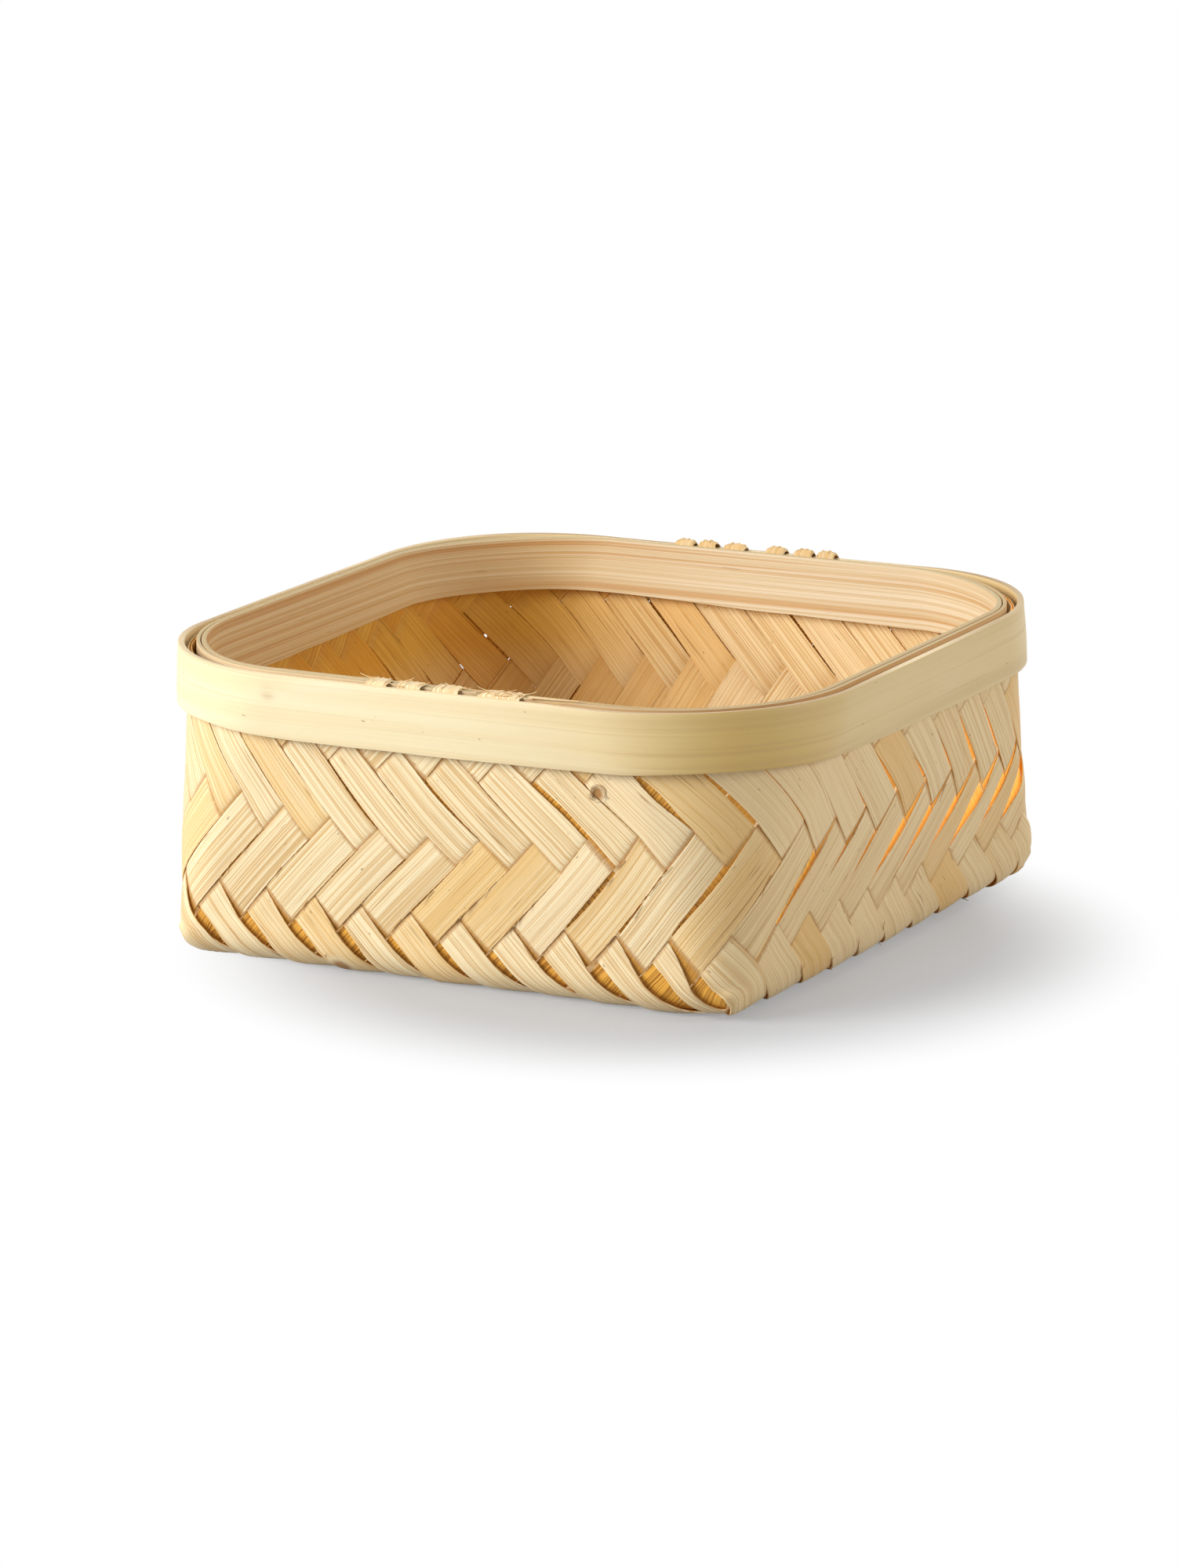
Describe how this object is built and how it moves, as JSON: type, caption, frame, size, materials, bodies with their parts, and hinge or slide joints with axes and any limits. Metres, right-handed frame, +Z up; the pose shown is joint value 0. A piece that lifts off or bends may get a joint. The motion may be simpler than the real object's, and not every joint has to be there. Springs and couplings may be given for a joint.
{
  "type": "bamboo basket",
  "caption": "Open basket of flat bamboo splints plaited in a diagonal twill, with a square base, walls that round towards the rim, and a rim of bent laths bound with splint.",
  "frame": {"origin": "on the floor, under the middle of the square base", "axes": "+Z up; -Y the wall seen at the left in the picture; +X the wall seen at its right"},
  "size_m": [0.2282, 0.229, 0.0974],
  "materials": {
    "splints": "bare split bamboo",
    "outer_hoop": "smooth bamboo skin",
    "inner_laths": "bare split bamboo",
    "bindings": "bare split bamboo"
  },
  "bodies": {
    "root": {"splint_a_01": "splints", "splint_a_02": "splints", "splint_a_03": "splints", "splint_a_04": "splints", "splint_a_05": "splints", "splint_a_06": "splints", "splint_a_07": "splints", "splint_a_08": "splints", "splint_a_09": "splints", "splint_a_10": "splints", "splint_a_11": "splints", "splint_a_12": "splints", "splint_a_13": "splints", "splint_a_14": "splints", "splint_a_15": "splints", "splint_a_16": "splints", "splint_a_17": "splints", "splint_a_18": "splints", "splint_a_19": "splints", "splint_a_20": "splints", "splint_a_21": "splints", "splint_a_22": "splints", "splint_b_01": "splints", "splint_b_02": "splints", "splint_b_03": "splints", "splint_b_04": "splints", "splint_b_05": "splints", "splint_b_06": "splints", "splint_b_07": "splints", "splint_b_08": "splints", "splint_b_09": "splints", "splint_b_10": "splints", "splint_b_11": "splints", "splint_b_12": "splints", "splint_b_13": "splints", "splint_b_14": "splints", "splint_b_15": "splints", "splint_b_16": "splints", "splint_b_17": "splints", "splint_b_18": "splints", "splint_b_19": "splints", "splint_b_20": "splints", "splint_b_21": "splints", "splint_b_22": "splints", "outer_hoop": "outer_hoop", "backing_hoop": "inner_laths", "inner_hoop": "inner_laths", "back_binding": "bindings", "front_binding": "bindings"}
  },
  "joints": []
}
